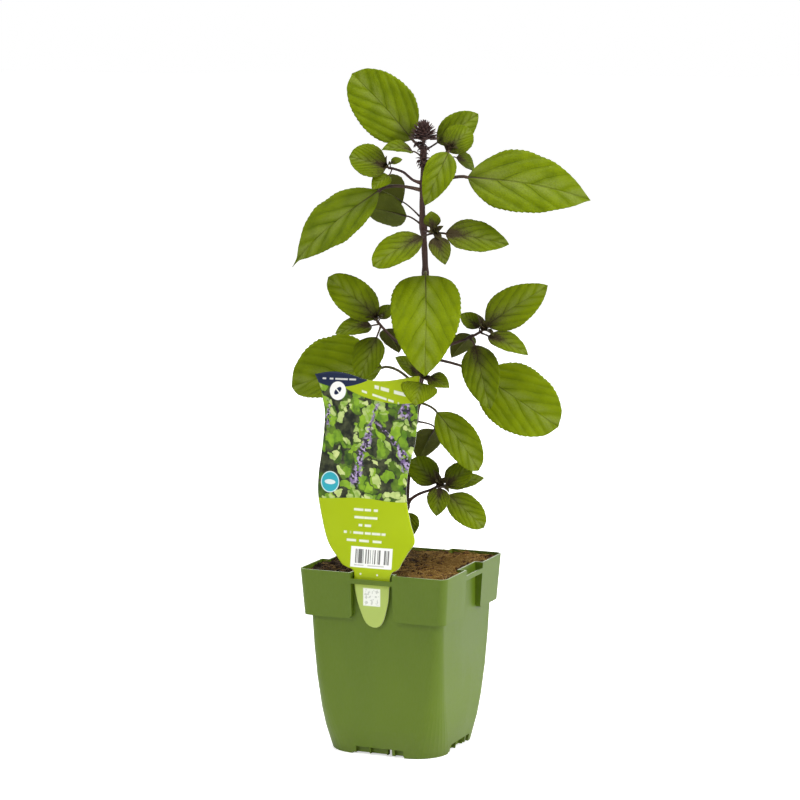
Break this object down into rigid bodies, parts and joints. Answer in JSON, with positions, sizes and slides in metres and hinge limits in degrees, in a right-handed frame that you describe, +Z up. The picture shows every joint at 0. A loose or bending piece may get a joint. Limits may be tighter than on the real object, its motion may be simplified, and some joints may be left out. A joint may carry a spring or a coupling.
{
  "type": "potted basil plant",
  "caption": "Young perennial basil with a purple stem, side shoots, broad leaves and a flower spike, in a square green nursery pot with compost and a stick-in plant label.",
  "frame": {"origin": "middle of the pot's underside, on the face of its centre foot, where the pot stands", "axes": "+Z up along the plant; +X and +Y square to the pot's sides; the labelled side looks along -Y"},
  "size_m": [0.2446, 0.13, 0.5562],
  "materials": {
    "pot_plastic": "injection-moulded polypropylene, satin mid green, lightly scuffed",
    "compost": "moist peat and coir compost with loose pale fibres, matt dark brown",
    "label_film": "printed plastic film, satin lime green with a picture panel",
    "purple_stem": "living stem, purple brown, finely haired, satin",
    "leaf_green": "living leaf, bright green with sunken veins and a purple tint on young leaves, satin",
    "spike_purple": "dark purple brown flower bracts, matt"
  },
  "bodies": {
    "root": {"flower_spike": "spike_purple", "leaf_backlit_left": "leaf_green", "leaf_centre_front": "leaf_green", "leaf_centre_left": "leaf_green", "leaf_centre_right": "leaf_green", "leaf_crown_back": "leaf_green", "leaf_crown_bud_leaf": "leaf_green", "leaf_crown_front": "leaf_green", "leaf_crown_hanging": "leaf_green", "leaf_front_down": "leaf_green", "leaf_front_left": "leaf_green", "leaf_front_right": "leaf_green", "leaf_front_up": "leaf_green", "leaf_high_left": "leaf_green", "leaf_high_right": "leaf_green", "leaf_left_big": "leaf_green", "leaf_left_dark": "leaf_green", "leaf_left_hanging": "leaf_green", "leaf_left_lower": "leaf_green", "leaf_left_small": "leaf_green", "leaf_left_upper": "leaf_green", "leaf_low_dark": "leaf_green", "leaf_low_down": "leaf_green", "leaf_low_far": "leaf_green", "leaf_low_hidden": "leaf_green", "leaf_low_right_hanging": "leaf_green", "leaf_low_round": "leaf_green", "leaf_low_tip": "leaf_green", "leaf_low_up": "leaf_green", "leaf_middle_back": "leaf_green", "leaf_middle_hanging": "leaf_green", "leaf_right_big": "leaf_green", "leaf_right_dark": "leaf_green", "leaf_right_hanging": "leaf_green", "leaf_right_inner": "leaf_green", "leaf_right_lower": "leaf_green", "leaf_right_upper": "leaf_green", "leaf_shade_left": "leaf_green", "leaf_side_left_bud": "leaf_green", "leaf_side_left_round": "leaf_green", "leaf_side_left_small": "leaf_green", "leaf_top_left": "leaf_green", "leaf_top_right": "leaf_green", "main_stem": "purple_stem", "plant_label": "label_film", "pot": "pot_plastic", "potting_soil": "compost", "shoot_centre": "purple_stem", "shoot_front": "purple_stem", "shoot_left": "purple_stem", "shoot_low_right": "purple_stem", "shoot_right": "purple_stem", "shoot_upper_left": "purple_stem", "shoot_upper_right": "purple_stem"}
  },
  "joints": []
}
